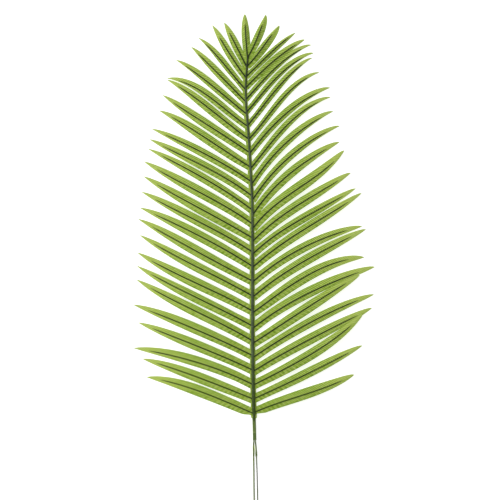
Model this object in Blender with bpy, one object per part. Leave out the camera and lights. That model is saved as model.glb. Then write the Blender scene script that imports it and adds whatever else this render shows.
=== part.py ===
# Artificial areca palm frond, lying on its back on a flat surface.
#
# A die-cut cloth leaf of 54 leaflets carries a moulded plastic skeleton on its
# front: a spine and one rib for each leaflet. A plastic sleeve behind the spine
# holds two steel wires, which come out below the leaf as its stem.
#
# Sizes are in metres. +Y runs to the tip of the frond, +Z is up, and the origin
# lies at the middle of the underside of the whole part.

import math

import bmesh
import bpy
import numpy as np

MM = 0.001

# Where the foot of the leaf lies from the origin
FOOT_X = -1.1 * MM
FOOT_Y = -264.4 * MM

# The spine: millimetres of sideways sway at each millimetre of rise from the foot
SPINE_SWAY = ((-40, 0.5), (0, 0), (46, -1.2), (125, -2.2), (285, -2.5), (345, -2.7),
              (375, -3.6), (405, -5.4), (445, -7.6), (480, -10.0), (520, -13.1), (545, -13.6),
              (575, -12.0), (597, -10.0), (640, -6.5))
SPINE_LENGTH = 597 * MM
SPINE_WIDTH_FOOT = 5.6 * MM
SPINE_WIDTH_TIP = 2.8 * MM
SPINE_HEIGHT_FOOT = 2.2 * MM
SPINE_HEIGHT_TIP = 1.3 * MM
SPINE_STEPS = 24
SPINE_OVERSHOOT = 2 * MM
WAIST_RISE = 1.5 * MM
WAIST_START = 12 * MM
WAIST_HALF = 1.5 * MM
LEG_TOP = 9 * MM
LEG_BOTTOM = -4.4 * MM
LEG_SPREAD = 1.25 * MM
LEG_CROSSING = 0.55 * MM
LEG_HALF = 0.85 * MM

# The cloth
CLOTH = 0.6 * MM
STRIP_THICKNESS = 0.8 * MM
STRIP_LEFT_FOOT = 2.0 * MM
STRIP_LEFT_TIP = 3.6 * MM
STRIP_RIGHT_FOOT = 2.2 * MM
STRIP_RIGHT_TIP = 1.4 * MM
GAP = 0.3 * MM

# How high the middle of the strip's thickness lies over the surface, by rise
STRIP_HEIGHT = ((-40, 3.7), (0, 3.7), (200, 3.7), (385, 3.7), (470, 2.9), (560, 1.9), (640, 1.6))

# Leaflets, numbered from the top of the frond. Each row gives, for one leaflet,
# its number, the rise of its root, how far it leans out from the spine at its
# root, middle and tip, its length and its width, in degrees and millimetres.
# The leaflets between two rows follow a smooth curve through them.
LEFT_ROWS = (
    (0, 579, 26, 27, 27, 83, 13.5),
    (1, 562, 38, 32, 31, 103, 13.0),
    (3, 522, 46, 46, 53, 131, 12.8),
    (6, 461, 58, 55, 61, 166, 14.5),
    (10, 367, 52, 63, 62, 193, 15.7),
    (15, 251, 59, 62, 60, 211, 17.5),
    (20, 128, 61, 66, 61, 214, 17.7),
    (25, 8, 64, 72, 81, 189, 18.0),
)
RIGHT_ROWS = (
    (0, 596, 30, 22, 18, 76, 13.7),
    (1, 581, 43, 39, 40, 89, 13.7),
    (4, 526, 41, 46, 66, 140, 11.6),
    (8, 437, 39, 43, 71, 173, 12.4),
    (12, 335, 32, 52, 59, 195, 16.7),
    (16, 249, 45, 62, 59, 205, 16.9),
    (21, 124, 53, 59, 70, 227, 18.0),
    (26, 10, 68, 68, 58, 193, 17.2),
)
LEFT = -1
RIGHT = 1
LEFT_COUNT = 26
RIGHT_COUNT = 27

# Leaflets that handling has bent away from the curve: how much further out the
# root, the middle and the tip lean, in degrees, and how much longer the blade looks
LEFT_BENT = {
    2: (0, 1, 9, -3), 3: (-2, -1, -8, -3), 4: (1, 1, 1, 3), 5: (2, 1, 24, 1), 6: (-3, -3, 0, 0),
    7: (-3, 0, -8, -3), 8: (3, -3, 1, -5), 9: (2, 1, 4, -2), 11: (0, -3, 1, 1), 12: (0, -1, -4, 4),
    13: (3, -1, -3, 0), 14: (-1, 1, 0, -1), 15: (-2, 1, 6, -2), 16: (3, -1, 1, 1), 17: (0, 0, -2, -4),
    18: (0, 1, -1, -3), 19: (0, -1, -1, -1), 20: (-2, -2, -3, 2), 21: (2, 0, 6, 3), 22: (2, 0, 0, -2),
    23: (0, 4, 9, 6), 24: (4, -1, -3, 0), 25: (2, -2, 0, -2),
}
RIGHT_BENT = {
    1: (2, -3, 0, -3), 2: (0, 0, 3, 3), 3: (0, 3, 1, 2), 4: (1, 1, 4, 2), 5: (0, -1, 1, -2),
    6: (-1, -4, -12, -5), 7: (3, -2, 0, -4), 8: (-2, 6, 0, 1), 9: (2, 0, 4, 0), 10: (-2, 1, 0, -2),
    11: (0, 0, 6, 2), 12: (0, -1, 4, -5), 13: (1, 1, -19, 2), 14: (5, 0, -1, -2), 15: (4, 0, 0, 0),
    16: (2, -4, -4, 13), 17: (1, 1, 16, -5), 18: (0, -1, 0, 3), 19: (4, 0, 20, -13), 20: (0, 5, 3, 1),
    21: (4, -2, -10, -18), 22: (0, 2, 2, 2), 23: (-1, 1, -4, 5), 24: (1, -5, -20, 8), 25: (1, -2, 1, -1),
    26: (-2, 4, 4, -16),
}
NOT_BENT = (0, 0, 0, 0)

# How many millimetres wider the lower and the upper half of a leaflet is cut
LEFT_CUT = {
    2: (-1.5, 0), 3: (0, 0.5), 4: (-0.5, 0.5), 5: (-0.5, 0), 6: (1, -0.5), 7: (1, 0), 8: (1, 0.5),
    9: (0, -1), 11: (0, -1), 12: (0.5, 1), 13: (1, 0), 14: (-0.5, 0), 15: (0.5, -0.5), 17: (0, -1),
    18: (0.5, 0), 19: (0.5, -1.5), 20: (0.5, 0), 21: (-1, 1), 22: (-0.5, 0.5), 23: (-1, 1), 25: (0.5, 0.5),
}
RIGHT_CUT = {
    1: (1, -1), 2: (-1.5, -2), 3: (0, 0.5), 4: (-1, 0), 5: (-0.8, 0), 6: (0, -1), 7: (0, -1), 8: (0, 1),
    9: (-0.5, -0.5), 10: (-0.8, 0), 11: (-1, -1.5), 12: (0.5, -1), 13: (0.8, 1), 14: (0.8, -0.5),
    15: (0, -1.8), 16: (0.5, -1.2), 17: (0, -1.2), 18: (0.5, -0.5), 19: (1.5, -0.5), 20: (-1, 1),
    21: (1, -0.8), 22: (-1, -0.8), 24: (0.8, -0.5), 25: (-1, 0), 26: (0, 1.2),
}
NOT_CUT = (0, 0)

# The leaflet that ends the spine leans a little to the left
END_LEAFLET = (0, 592, -5, -4, 0, 75, 13.5)
END_UPPER_SHARE = 0.5

# How much of the blade is above its rib at the tip, at each number of a leaflet
UPPER_SHARE_TIP = {
    LEFT: ((0, 0.62), (3, 0.80), (6, 0.82), (10, 0.72), (15, 0.75), (20, 0.62), (25, 0.63)),
    RIGHT: ((0, 0.20), (1, 0.26), (2, 0.50), (4, 0.84), (8, 0.88), (12, 0.78), (16, 0.72), (21, 0.61), (26, 0.60)),
}

# Leaflets that lie over the one above them, and how much higher their outer half is
RIGHT_OVERLAP = {9: 2.6, 16: 2.6, 21: 3.2, 24: 3.0}
LEFT_OVERLAP = {6: 2.4}

# Shape of one leaflet
STRIP_REACH = 4.4 * MM
LEAD_MOST = 19 * MM
ALONG = (0.0, 0.12, 0.27, 0.44, 0.60, 0.74, 0.86, 0.94, 1.0)
WIDEST = 0.48
ROOT_SHARE = 0.87
TIP_POWER = {LEFT: 0.75, RIGHT: 0.60}
LOWEST_TRIM = 0.45
LOWEST_TRIM_REACH = 20 * MM
UPPER_SHARE_ROOT = 0.49
UPPER_SHARE_TURN = 2.5
CUT_FULL_AT = 0.15
IN_STRIP_SHARE = 0.5
FOLD_SLOPE = 0.17
FOLD_START = 0.12
ARCH = 5.0 * MM
ARCH_LENGTH = 200 * MM
ARCH_VARIATION = 0.22
ARCH_TURN = 2.4
TIP_HEIGHT = CLOTH / 2 + 0.02 * MM
LOWEST_CLOTH = CLOTH / 2 + 0.06 * MM

# Ribs
RIB_END = 0.88
RIB_END_SHORT = 0.78
RIB_SHORT_UNDER = 106 * MM
RIB_WIDTH_ROOT = 2.1 * MM
RIB_WIDTH_END = 1.6 * MM
RIB_HEIGHT_ROOT = 1.0 * MM
RIB_HEIGHT_END = 0.5 * MM

# Sleeve and wires: millimetres of sway at each millimetre of rise
SLEEVE_BOTTOM = -35.5 * MM
SLEEVE_TOP = 385 * MM
SLEEVE_WIDTH = 5.8 * MM
SLEEVE_HEIGHT = 3.0 * MM
SLEEVE_STEPS = 14
SLEEVE_CAP = 4 * MM
BORE_WIDTH = 5.05 * MM
BORE_HEIGHT = 2.35 * MM
SLEEVE_SWAY = ((-40, 1.2), (-20, 0.8), (0, 0.2), (46, -1.2), (125, -2.2), (285, -2.5),
               (345, -2.7), (375, -3.6), (405, -5.4), (445, -7.6))
WIRE_RADIUS = 0.92 * MM
COAT_RADIUS = 1.1 * MM
WIRE_SPREAD = 1.25 * MM
WIRE_TOP = 376 * MM
WIRE_SIDES = 8
WIRE_LEFT_TAIL = ((-37, -0.1), (-45, -0.6), (-61, -0.5), (-85, 0.0), (-110, 0.2), (-138, 0.6))
WIRE_RIGHT_TAIL = ((-37, 2.4), (-45, 3.2), (-54, 3.9), (-66, 4.3), (-85, 5.0), (-110, 5.6), (-138, 6.2))
COAT_START = -37 * MM
COAT_END_LEFT = -56 * MM
COAT_END_RIGHT = -63 * MM
COAT_TAPER = 1 * MM
WIRE_REST = 1.0 * MM
WIRE_DROP = 60 * MM


def smooth(rows, at):
    """Read a smooth curve through rows of (place, value, ...) at one place."""
    table = np.array(rows, dtype=float)
    if table[0, 0] > table[-1, 0]:
        table = table[::-1]
    places = table[:, 0]
    values = table[:, 1:]
    slopes = np.gradient(values, places, axis=0)
    low = int(np.clip(np.searchsorted(places, at) - 1, 0, len(places) - 2))
    step = places[low + 1] - places[low]
    t = (at - places[low]) / step
    return ((2 * t**3 - 3 * t**2 + 1) * values[low] + (t**3 - 2 * t**2 + t) * step * slopes[low]
            + (3 * t**2 - 2 * t**3) * values[low + 1] + (t**3 - t**2) * step * slopes[low + 1])


def spine_x(rise):
    return FOOT_X + smooth(SPINE_SWAY, rise / MM)[0] * MM


def strip_z(rise):
    return smooth(STRIP_HEIGHT, rise / MM)[0] * MM


def blend(start, end, share):
    return start + (end - start) * share


class Leaflet:
    """One leaflet: where its middle line runs, how wide and how high it lies."""

    def __init__(self, side, row, bent, cut, overlap):
        number, rise, root, middle, tip, length, width = row
        self.side = side
        self.number = number
        self.rise = rise * MM
        self.leans = np.radians((root + bent[0], middle + bent[1], tip + bent[2]))
        self.length = (length + bent[3]) * MM
        self.width = width * MM
        self.more_lower = cut[0] * MM
        self.more_upper = cut[1] * MM
        self.overlap = overlap * MM
        self.upper_tip = smooth(UPPER_SHARE_TIP[side], number)[0]
        self.line = self.trace()
        self.lead = self.flat_lead()

    def trace(self):
        """Walk along the middle line in short steps, turning with the lean."""
        steps = 60
        share = (np.arange(steps) + 0.5) / steps
        root, middle, tip = self.leans
        lean = (root * (1 - share) * (1 - 2 * share) + middle * 4 * share * (1 - share)
                + tip * share * (2 * share - 1))
        run = self.length / steps
        across = np.concatenate(([0.0], np.cumsum(np.sin(lean)) * run))
        up = np.concatenate(([0.0], np.cumsum(np.cos(lean)) * run))
        x = spine_x(self.rise) + self.side * across
        y = FOOT_Y + self.rise + up
        return np.column_stack((x, y))

    def flat_lead(self):
        """How far the blade stays flat: until its upper edge is clear of the strip."""
        out = math.sin(self.leans[0])
        reach = STRIP_REACH + self.width / 2 * math.cos(self.leans[0])
        return reach / out if out * LEAD_MOST > reach else LEAD_MOST

    def place(self, along):
        """The point of the middle line at a distance along it, seen from above."""
        at = along / self.length * (len(self.line) - 1)
        low = min(int(at), len(self.line) - 2)
        return blend(self.line[low], self.line[low + 1], at - low)

    def height(self, along):
        """How high the cloth's middle lies at a distance along the middle line."""
        root = strip_z(self.place(min(along, self.lead))[1] - FOOT_Y)
        if along <= self.lead:
            return root
        share = (along - self.lead) / (self.length - self.lead)
        swing = 1 + ARCH_VARIATION * math.sin(ARCH_TURN * self.number + self.side)
        arch = ARCH * swing * self.length / ARCH_LENGTH * 4 * share * (1 - share)
        lift = self.overlap * min(1.0, max(0.0, (share - 0.3) / 0.4))
        return blend(root, TIP_HEIGHT, share**1.5) + arch + lift

    def half_widths(self, along):
        """Width of the lower and the upper half of the blade."""
        share = along / self.length
        if share < WIDEST:
            t = share / WIDEST
            wide = blend(ROOT_SHARE, 1.0, t * t * (3 - 2 * t))
        else:
            wide = (1 - ((share - WIDEST) / (1 - WIDEST))**2)**TIP_POWER[self.side]
        upper = blend(UPPER_SHARE_ROOT, self.upper_tip, share**UPPER_SHARE_TURN)
        full = self.width * wide
        more = wide * min(1.0, share / CUT_FULL_AT)
        lower = (full * (1 - upper) + self.more_lower * more) * self.trim(along)
        narrowed = IN_STRIP_SHARE if along == 0 else 1.0
        return lower, (full * upper + self.more_upper * more) * narrowed

    def trim(self, along):
        """The two lowest leaflets draw in below their ribs, towards the foot."""
        if self.number < (LEFT_COUNT if self.side == LEFT else RIGHT_COUNT) - 1:
            return 1.0
        return blend(LOWEST_TRIM, 1.0, min(1.0, along / LOWEST_TRIM_REACH))

    def fold(self, along):
        """Slope of each half of the blade, down from the rib to the edge."""
        share = (along - self.lead) / (self.length - self.lead)
        return FOLD_SLOPE * min(1.0, max(0.0, share / FOLD_START))

    def stations(self):
        """Distances along the middle line at which the blade has a row of points."""
        return [0.0] + [self.lead + share * (self.length - self.lead) for share in ALONG]

    def heading(self, along):
        """Unit vector along the middle line."""
        ahead = self.place(min(along + MM, self.length))
        behind = self.place(max(along - MM, 0.0))
        return (ahead - behind) / np.linalg.norm(ahead - behind)


def all_leaflets():
    last = Leaflet(RIGHT, END_LEAFLET, NOT_BENT, NOT_CUT, 0.0)
    last.upper_tip = END_UPPER_SHARE
    leaflets = [last]
    sides = ((LEFT, LEFT_COUNT, LEFT_ROWS, LEFT_BENT, LEFT_CUT, LEFT_OVERLAP),
             (RIGHT, RIGHT_COUNT, RIGHT_ROWS, RIGHT_BENT, RIGHT_CUT, RIGHT_OVERLAP))
    for side, count, rows, bent, cut, overlap in sides:
        for number in range(count):
            row = [number, *smooth(rows, number)]
            leaflets.append(Leaflet(side, row, bent.get(number, NOT_BENT), cut.get(number, NOT_CUT),
                                    overlap.get(number, 0.0)))
    return leaflets


def new_object(name, mesh_maker, material):
    """Make an object whose mesh is filled in by a function of a bmesh."""
    mesh = bpy.data.meshes.new(name)
    shape = bmesh.new()
    mesh_maker(shape)
    shape.to_mesh(mesh)
    shape.free()
    mesh.materials.append(material)
    piece = bpy.data.objects.new(name, mesh)
    bpy.context.scene.collection.objects.link(piece)
    return piece


def loft(shape, rings):
    """Join rings of points into a closed bar with flat ends."""
    rows = [[shape.verts.new(point) for point in ring] for ring in rings]
    count = len(rows[0])
    for low, high in zip(rows, rows[1:]):
        for i in range(count):
            j = (i + 1) % count
            shape.faces.new((low[i], low[j], high[j], high[i]))
    shape.faces.new(rows[0][::-1])
    shape.faces.new(rows[-1])
    bmesh.ops.triangulate(shape, faces=shape.faces[:])
    bmesh.ops.recalc_face_normals(shape, faces=shape.faces[:])


def cloth_sheet(shape, leaflet):
    """The blade as a sheet of three rows of points, ending in one at the tip."""
    rows = []
    for along in leaflet.stations():
        x, y = leaflet.place(along)
        z = leaflet.height(along)
        if along >= leaflet.length:
            rows.append([shape.verts.new((x, y, z))])
            continue
        ahead = leaflet.heading(along)
        upward = np.array((-ahead[1], ahead[0])) * leaflet.side
        lower, upper = leaflet.half_widths(along)
        slope = leaflet.fold(along)
        z_lower = max(z - slope * lower, LOWEST_CLOTH)
        z_upper = max(z - slope * upper, LOWEST_CLOTH)
        points = [(x - upward[0] * lower, y - upward[1] * lower, z_lower),
                  (x, y, z),
                  (x + upward[0] * upper, y + upward[1] * upper, z_upper)]
        rows.append([shape.verts.new(point) for point in points])
    for low, high in zip(rows[:-2], rows[1:-1]):
        shape.faces.new((low[0], low[1], high[1], high[0])[::leaflet.side])
        shape.faces.new((low[1], low[2], high[2], high[1])[::leaflet.side])
    low, tip = rows[-2], rows[-1][0]
    shape.faces.new((low[0], low[1], tip)[::leaflet.side])
    shape.faces.new((low[1], low[2], tip)[::leaflet.side])
    bmesh.ops.triangulate(shape, faces=shape.faces[:], quad_method="FIXED")


def cloth_blade(leaflet, material):
    """One leaflet of cloth, a sheet thickened evenly both ways."""
    blade = new_object("blade", lambda shape: cloth_sheet(shape, leaflet), material)
    thicken = blade.modifiers.new("thickness", "SOLIDIFY")
    thicken.thickness = CLOTH
    thicken.offset = 0.0
    thicken.use_even_offset = True
    return blade


def spine_half_width(rise):
    return blend(SPINE_WIDTH_FOOT, SPINE_WIDTH_TIP, max(0.0, rise) / SPINE_LENGTH) / 2


def cloth_strip(shape):
    """The band of cloth along the spine that all the leaflets grow from."""
    rings = []
    for rise in np.linspace(0, SPINE_LENGTH + SPINE_OVERSHOOT, SPINE_STEPS + 1):
        half = spine_half_width(rise)
        x = spine_x(rise)
        y = FOOT_Y + rise
        share = rise / SPINE_LENGTH
        left = x - half - blend(STRIP_LEFT_FOOT, STRIP_LEFT_TIP, share)
        right = x + half + blend(STRIP_RIGHT_FOOT, STRIP_RIGHT_TIP, share)
        low = strip_z(rise) - STRIP_THICKNESS / 2
        high = low + STRIP_THICKNESS
        rings.append(((left, y, low), (right, y, low), (right, y, high), (left, y, high)))
    loft(shape, rings)


def spine_bar(shape):
    """The spine: flat below, rounded above, tapering to the tip of the frond."""
    rings = []
    waist = [WAIST_RISE, (WAIST_RISE + WAIST_START) / 2, WAIST_START]
    for rise in waist + list(np.linspace(0, SPINE_LENGTH, SPINE_STEPS + 1)[1:]):
        drawn_in = min(1.0, (rise - WAIST_RISE) / (WAIST_START - WAIST_RISE))
        half = blend(WAIST_HALF, spine_half_width(rise), drawn_in)
        tall = blend(SPINE_HEIGHT_FOOT, SPINE_HEIGHT_TIP, rise / SPINE_LENGTH)
        x = spine_x(rise)
        y = FOOT_Y + rise
        base = strip_z(rise) + STRIP_THICKNESS / 2 + GAP
        outline = ((-1.0, 0.0), (1.0, 0.0), (0.92, 0.55), (0.5, 0.92), (0.0, 1.0), (-0.5, 0.92), (-0.92, 0.55))
        rings.append([(x + across * half, y, base + up * tall) for across, up in outline])
    loft(shape, rings)


def spine_leg(shape, side):
    """One of the two legs that end the spine: they meet at the waist and part below."""
    base = strip_z(0) + STRIP_THICKNESS / 2 + GAP
    rings = []
    for rise, spread, shrink in ((LEG_TOP, LEG_SPREAD, 1.0), (WAIST_RISE, LEG_CROSSING, 1.0),
                                 (LEG_BOTTOM / 2, LEG_SPREAD * 0.8, 0.9), (LEG_BOTTOM, LEG_SPREAD, 0.35)):
        x = spine_x(0) + side * spread
        wide = LEG_HALF * shrink
        tall = SPINE_HEIGHT_FOOT * 0.7 * blend(0.7, 1.0, shrink)
        low = base + 0.05 * MM
        y = FOOT_Y + rise
        rings.append(((x - wide, y, low), (x + wide, y, low), (x + wide * 0.6, y, low + tall),
                      (x - wide * 0.6, y, low + tall)))
    loft(shape, rings)


def rib_bar(shape, leaflet):
    """A rib: a low bar over the fold of its leaflet, sunk into the spine."""
    share = RIB_END if leaflet.length > RIB_SHORT_UNDER else RIB_END_SHORT
    end = share * leaflet.length
    places = [along for along in leaflet.stations() if along < end - 4 * MM] + [end]
    corners = leaflet.stations()
    rings = []
    for along in places:
        reach = along / end
        wide = blend(RIB_WIDTH_ROOT, RIB_WIDTH_END, reach) / 2
        tall = blend(RIB_HEIGHT_ROOT, RIB_HEIGHT_END, reach)
        low = max(c for c in corners if c <= along)
        high = min(c for c in corners if c >= along)
        part = 0.0 if high == low else (along - low) / (high - low)
        x, y = blend(leaflet.place(low), leaflet.place(high), part)
        z = blend(leaflet.height(low), leaflet.height(high), part)
        base = z + STRIP_THICKNESS / 2 + GAP
        ahead = leaflet.heading(along)
        upward = np.array((-ahead[1], ahead[0]))
        ring = [(x - upward[0] * wide, y - upward[1] * wide, base),
                (x - upward[0] * wide * 0.4, y - upward[1] * wide * 0.4, base + tall),
                (x + upward[0] * wide * 0.4, y + upward[1] * wide * 0.4, base + tall),
                (x + upward[0] * wide, y + upward[1] * wide, base)]
        rings.append(ring)
    loft(shape, rings)


def rounded_ring(x, y, z, width, height):
    """A flat-bottomed oval seen along the spine: twelve points round its edge."""
    corner = height * 0.5
    points = []
    for middle_x, start in ((width / 2 - corner, -90), (corner - width / 2, 90)):
        for step in range(6):
            angle = math.radians(start + step * 36)
            points.append((x + middle_x + corner * math.cos(angle), y, z + corner * math.sin(angle)))
    return points


def sleeve_x(rise):
    return FOOT_X + smooth(SLEEVE_SWAY, rise / MM)[0] * MM


def sleeve_rises():
    return list(np.linspace(SLEEVE_BOTTOM, SLEEVE_TOP, SLEEVE_STEPS + 1))


def stem_sleeve(shape):
    """The sleeve: a flat tube that is closed at its upper end."""
    middle = SLEEVE_HEIGHT / 2
    outer = []
    inner = []
    for rise in sleeve_rises():
        x = sleeve_x(rise)
        y = FOOT_Y + rise
        outer.append(rounded_ring(x, y, middle, SLEEVE_WIDTH, SLEEVE_HEIGHT))
        if rise < SLEEVE_TOP - SLEEVE_CAP:
            inner.append(rounded_ring(x, y, middle, BORE_WIDTH, BORE_HEIGHT))
    end = SLEEVE_TOP - SLEEVE_CAP
    inner.append(rounded_ring(sleeve_x(end), FOOT_Y + end, middle, BORE_WIDTH, BORE_HEIGHT))
    count = len(outer[0])
    outer_rows = [[shape.verts.new(point) for point in ring] for ring in outer]
    inner_rows = [[shape.verts.new(point) for point in ring] for ring in inner]
    for rows in (outer_rows, inner_rows):
        for low, high in zip(rows, rows[1:]):
            for i in range(count):
                j = (i + 1) % count
                shape.faces.new((low[i], low[j], high[j], high[i]))
        shape.faces.new(rows[-1])
    for i in range(count):
        j = (i + 1) % count
        shape.faces.new((outer_rows[0][i], outer_rows[0][j], inner_rows[0][j], inner_rows[0][i]))
    bmesh.ops.triangulate(shape, faces=shape.faces[:])
    bmesh.ops.recalc_face_normals(shape, faces=shape.faces[:])


def wire(shape, side, tail, coat_end):
    """A wire: straight up inside the sleeve, splayed below it, with a torn coat."""
    bottom = tail[-1][0] * MM
    places = [WIRE_TOP] + [rise for rise in sleeve_rises()[::-1] if rise < WIRE_TOP]
    places += list(np.linspace(COAT_START, coat_end + COAT_TAPER, 4)) + [coat_end]
    places += list(np.linspace(coat_end - 8 * MM, bottom, 8))
    rings = []
    for rise in places:
        if rise >= COAT_START:
            x = sleeve_x(rise) + side * WIRE_SPREAD
        else:
            x = FOOT_X + smooth(tail, rise / MM)[0] * MM
        drop = min(1.0, max(0.0, (COAT_START - rise) / WIRE_DROP))
        z = blend(SLEEVE_HEIGHT / 2, WIRE_REST, drop)
        radius = COAT_RADIUS if coat_end < rise < COAT_START else WIRE_RADIUS
        ring = []
        for corner in range(WIRE_SIDES):
            angle = 2 * math.pi * (corner + 0.5) / WIRE_SIDES
            ring.append((x + radius * math.cos(angle), FOOT_Y + rise, z + radius * math.sin(angle)))
        rings.append(ring)
    loft(shape, rings)


def join_all(name, pieces):
    """Union pieces that cross each other into one closed body."""
    others = bpy.data.collections.new(name + "_parts")
    bpy.context.scene.collection.children.link(others)
    body = pieces[0]
    body.name = name
    body.data.name = name
    for piece in pieces[1:]:
        bpy.context.scene.collection.objects.unlink(piece)
        others.objects.link(piece)
    union = body.modifiers.new("union", "BOOLEAN")
    union.operation = "UNION"
    union.operand_type = "COLLECTION"
    union.collection = others
    union.solver = "MANIFOLD"
    bpy.context.view_layer.objects.active = body
    for modifier in [m.name for m in body.modifiers]:
        bpy.ops.object.modifier_apply(modifier=modifier)
    for piece in pieces[1:]:
        bpy.data.objects.remove(piece, do_unlink=True)
    bpy.data.collections.remove(others)
    return body


def plain_material(name, red, green, blue, roughness, metallic):
    material = bpy.data.materials.new(name)
    material.use_nodes = True
    shader = material.node_tree.nodes["Principled BSDF"]
    shader.inputs["Base Color"].default_value = (red, green, blue, 1.0)
    shader.inputs["Roughness"].default_value = roughness
    shader.inputs["Metallic"].default_value = metallic
    return material


def make_leaf_cloth(leaflets):
    cloth = plain_material("printed_cloth", 0.35, 0.48, 0.09, 0.75, 0.0)
    strip = new_object("strip", cloth_strip, cloth)
    blades = [cloth_blade(leaflet, cloth) for leaflet in leaflets]
    return join_all("leaf_cloth", [strip] + blades)


def make_rib_skeleton(leaflets):
    plastic = plain_material("dark_green_plastic", 0.05, 0.08, 0.04, 0.5, 0.0)
    spine = new_object("spine", spine_bar, plastic)
    parts = [new_object("rib", lambda shape, leaf=leaf: rib_bar(shape, leaf), plastic) for leaf in leaflets]
    for side in (LEFT, RIGHT):
        parts.append(new_object("leg", lambda shape, side=side: spine_leg(shape, side), plastic))
    return join_all("rib_skeleton", [spine] + parts)


def make_stem():
    plastic = plain_material("green_plastic", 0.11, 0.19, 0.04, 0.45, 0.0)
    steel = plain_material("coated_steel_wire", 0.16, 0.19, 0.11, 0.4, 0.6)
    sleeve = new_object("stem_sleeve", stem_sleeve, plastic)
    left = new_object("wire_left", lambda shape: wire(shape, LEFT, WIRE_LEFT_TAIL, COAT_END_LEFT), steel)
    right = new_object("wire_right", lambda shape: wire(shape, RIGHT, WIRE_RIGHT_TAIL, COAT_END_RIGHT), steel)
    for piece in (sleeve, left, right):
        piece.data.shade_smooth()
        piece.data.set_sharp_from_angle(angle=math.radians(50))


for leftover in list(bpy.data.objects):
    bpy.data.objects.remove(leftover, do_unlink=True)

frond_leaflets = all_leaflets()
make_leaf_cloth(frond_leaflets)
make_rib_skeleton(frond_leaflets)
make_stem()
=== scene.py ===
# %% [markdown]
# An artificial areca palm frond, seen from above as it lies on its back.
#
# The real one is made of few things: a leaf that is cut from one sheet of printed
# cloth and pressed into fine slanting pleats, a soft plastic skeleton on its front,
# and a plastic sleeve behind with two coated wires in it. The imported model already
# has them at their real size and place. This script replaces each with a finer
# piece of the same form and gives it its finish.

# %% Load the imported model
import math

import bpy
import numpy as np
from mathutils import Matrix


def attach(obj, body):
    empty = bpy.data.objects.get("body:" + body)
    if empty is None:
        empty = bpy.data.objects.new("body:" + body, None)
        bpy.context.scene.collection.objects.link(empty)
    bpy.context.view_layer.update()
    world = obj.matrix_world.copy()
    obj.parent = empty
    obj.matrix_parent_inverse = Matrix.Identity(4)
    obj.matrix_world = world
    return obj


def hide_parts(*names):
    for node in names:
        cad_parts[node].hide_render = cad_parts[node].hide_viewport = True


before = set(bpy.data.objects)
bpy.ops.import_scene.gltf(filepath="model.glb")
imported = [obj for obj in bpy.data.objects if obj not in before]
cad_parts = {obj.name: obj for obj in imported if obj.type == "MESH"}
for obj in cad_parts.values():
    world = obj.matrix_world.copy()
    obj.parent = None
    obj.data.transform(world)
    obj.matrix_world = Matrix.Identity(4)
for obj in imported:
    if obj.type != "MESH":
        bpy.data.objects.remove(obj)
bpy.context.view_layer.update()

# %% [markdown]
# Every length below is a real size in metres. MM turns millimetres into metres, so
# that a reader can compare a number with a ruler. The foot is the place where the
# leaf ends and the bare stem begins, and rises are measured from it, up the spine.

# %% The leaf's driving dimensions
MM = 0.001
FOOT_X = -1.1 * MM
FOOT_Y = -264.4 * MM
LEFT = -1
RIGHT = 1

# Sideways sway of the spine in millimetres, at each millimetre of rise
SPINE_SWAY = ((-40, 0.5), (0, 0), (46, -1.2), (125, -2.2), (285, -2.5), (345, -2.7),
              (375, -3.6), (405, -5.4), (445, -7.6), (480, -10.0), (520, -13.1), (545, -13.6),
              (575, -12.0), (597, -10.0), (640, -6.5))
SPINE_LENGTH = 597 * MM
SPINE_WIDTH_FOOT = 5.6 * MM
SPINE_WIDTH_TIP = 2.8 * MM
SPINE_HEIGHT_FOOT = 2.2 * MM
SPINE_HEIGHT_TIP = 1.3 * MM

# Height of the cloth's middle over the surface, along the spine
STRIP_HEIGHT = ((-40, 3.7), (0, 3.7), (200, 3.7), (385, 3.7), (470, 2.9), (560, 1.9), (640, 1.6))
STRIP_LEFT_FOOT = 2.0 * MM
STRIP_LEFT_TIP = 3.6 * MM
STRIP_RIGHT_FOOT = 2.2 * MM
STRIP_RIGHT_TIP = 1.4 * MM
CLOTH = 0.6 * MM

# Leaflets from the top down: number, rise of the root, lean at root, middle and
# tip in degrees, length and width. Those between two rows follow a smooth curve.
LEFT_ROWS = (
    (0, 579, 26, 27, 27, 83, 13.5),
    (1, 562, 38, 32, 31, 103, 13.0),
    (3, 522, 46, 46, 53, 131, 12.8),
    (6, 461, 58, 55, 61, 166, 14.5),
    (10, 367, 52, 63, 62, 193, 15.7),
    (15, 251, 59, 62, 60, 211, 17.5),
    (20, 128, 61, 66, 61, 214, 17.7),
    (25, 8, 64, 72, 81, 189, 18.0),
)
RIGHT_ROWS = (
    (0, 596, 30, 22, 18, 76, 13.7),
    (1, 581, 43, 39, 40, 89, 13.7),
    (4, 526, 41, 46, 66, 140, 11.6),
    (8, 437, 39, 43, 71, 173, 12.4),
    (12, 335, 32, 52, 59, 195, 16.7),
    (16, 249, 45, 62, 59, 205, 16.9),
    (21, 124, 53, 59, 70, 227, 18.0),
    (26, 10, 68, 68, 58, 193, 17.2),
)
LEFT_COUNT = 26
RIGHT_COUNT = 27
END_LEAFLET = (0, 592, -5, -4, 0, 75, 13.5)
END_UPPER_SHARE = 0.5

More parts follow.
